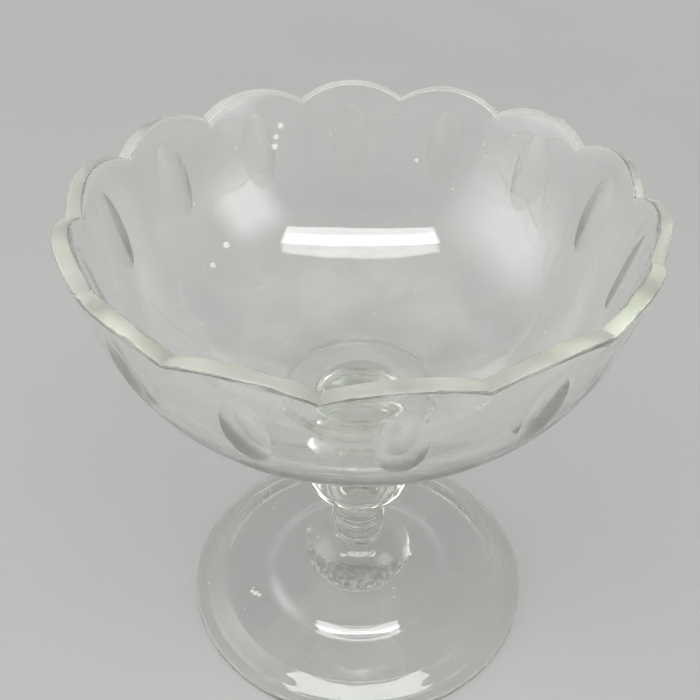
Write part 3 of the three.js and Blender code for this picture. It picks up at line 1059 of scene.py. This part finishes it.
def floor_material():
    """Plain pale paper with the faintest mottling.

    Part of its paleness is its own in view, in gloss and through glass, so that the clear glass stays clear,
    and the rest is lit and keeps the object's shadow. Far away it is all its own, and fades to the horizon.
    """
    material, tree, place = new_material("pale_floor")
    colour = mix_colour(tree, noise_value(tree, place, FLOOR_MOTTLING), FLOOR_GREY, FLOOR_PALE)
    lit = add_node(tree, "BsdfPrincipled", {"Base Color": colour, "Roughness": FLOOR_ROUGHNESS})

    distance = distance_from_axis(tree, place)
    faded = mix_colour(tree, remap(tree, distance, FLOOR_FADES, (0.0, 1.0)), colour, HORIZON)
    plain = add_node(tree, "Emission", {"Color": faded, "Strength": 1.0})
    share = remap(tree, distance, PLAIN_FADES, (PLAIN_SHARE, 1.0))

    rays = add_node(tree, "LightPath").outputs
    seen = math_node(tree, "MAXIMUM", rays["Is Camera Ray"], rays["Is Glossy Ray"])
    seen = math_node(tree, "MAXIMUM", seen, rays["Is Transmission Ray"])
    shown = add_node(tree, "MixShader", {"Fac": math_node(tree, "MULTIPLY", seen, share)})
    tree.links.new(lit.outputs["BSDF"], shown.inputs[1])
    tree.links.new(plain.outputs[0], shown.inputs[2])
    add_node(tree, "OutputMaterial", {"Surface": shown.outputs[0]})
    return material


def floor():
    """A wide level sheet under the object."""
    sides = ((-1, -1), (1, -1), (1, 1), (-1, 1))
    corners = [(x * FLOOR_REACH, y * FLOOR_REACH, -FLOOR_DROP * MM) for x, y in sides]
    mesh = bpy.data.meshes.new("floor")
    mesh.from_pydata(corners, [], [(0, 1, 2, 3)])
    mesh.materials.append(floor_material())
    sheet = bpy.data.objects.new("floor", mesh)
    bpy.context.scene.collection.objects.link(sheet)


def aim(thing, position, target, roll=0.0):
    """Points a camera or lamp from its position at a target, all in metres."""
    turned = (Vector(target) - Vector(position)).to_track_quat("-Z", "Y") @ Quaternion((0, 0, 1), roll)
    thing.location = position
    thing.rotation_mode = "QUATERNION"
    thing.rotation_quaternion = turned
    bpy.context.scene.collection.objects.link(thing)


def softbox(name, position, target, width, height, power, soft_edge):
    """A rectangular panel whose glow fades over a share of its half-size towards each edge."""
    lamp = bpy.data.lights.new(name, "AREA")
    lamp.shape = "RECTANGLE"
    lamp.size = width
    lamp.size_y = height
    lamp.energy = power
    lamp.use_nodes = True
    tree = lamp.node_tree
    tree.nodes.clear()
    across = separate(tree, add_node(tree, "NewGeometry").outputs["Parametric"])
    glow = 1.0
    for axis in ("X", "Y"):
        from_middle = math_node(tree, "ABSOLUTE", math_node(tree, "SUBTRACT", across[axis], 0.5))
        edge = remap(tree, from_middle, (0.5 - soft_edge / 2, 0.5), (1.0, 0.0))
        glow = math_node(tree, "MULTIPLY", edge, glow)
    emission = add_node(tree, "Emission", {"Strength": glow})
    add_node(tree, "OutputLight", {"Surface": emission.outputs[0]})
    thing = bpy.data.objects.new(name, lamp)
    thing.visible_camera = False
    aim(thing, position, target)


def room():
    """A plain room that is paler around than above."""
    world = bpy.data.worlds.new("studio")
    world.use_nodes = True
    bpy.context.scene.world = world
    tree = world.node_tree
    tree.nodes.clear()
    height = separate(tree, add_node(tree, "TexCoord").outputs["Generated"])["Z"]
    colour = mix_colour(tree, remap(tree, height, SKY_FADES, (0.0, 1.0)), HORIZON, OVERHEAD)
    background = add_node(tree, "Background", {"Color": colour, "Strength": 1.0})
    add_node(tree, "OutputWorld", {"Surface": background.outputs[0]})


def camera():
    """The photograph's viewpoint: close, from above, and tilted a trace."""
    lens = bpy.data.cameras.new("camera")
    lens.lens = FOCAL_LENGTH
    lens.sensor_width = SENSOR_WIDTH
    lens.clip_start = NEAREST_SEEN
    thing = bpy.data.objects.new("camera", lens)
    aim(thing, CAMERA_POSITION, CAMERA_TARGET, CAMERA_ROLL)
    bpy.context.scene.camera = thing


def dress():
    """Puts each piece of glass in the place of its solid and gives it its material."""
    materials = {"bowl_glass": bowl_glass(), "stem_glass": stem_glass(), "foot_glass": foot_glass()}
    pieces = (
        ("foot", foot(), "foot_glass"),
        ("lower_knop", lower_knop(), "stem_glass"),
        ("ringed_collar", ringed_collar(), "stem_glass"),
        ("upper_knop", upper_knop(), "stem_glass"),
        ("neck", neck(), "stem_glass"),
        ("merese", merese(), "stem_glass"),
        ("bowl", bowl(), "bowl_glass"),
    )
    for node, piece, slot in pieces:
        piece.data.materials.append(materials[slot])
        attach(piece, "root")
        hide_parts(node)


def render_settings():
    scene = bpy.context.scene
    scene.cycles.max_bounces = GLASS_BOUNCES
    scene.cycles.transmission_bounces = GLASS_BOUNCES
    scene.cycles.glossy_bounces = GLASS_BOUNCES
    scene.cycles.transparent_max_bounces = SEE_THROUGH_BOUNCES
    scene.view_settings.view_transform = "Standard"


dress()
floor()
for panel in SOFTBOXES:
    softbox(*panel)
room()
camera()
render_settings()
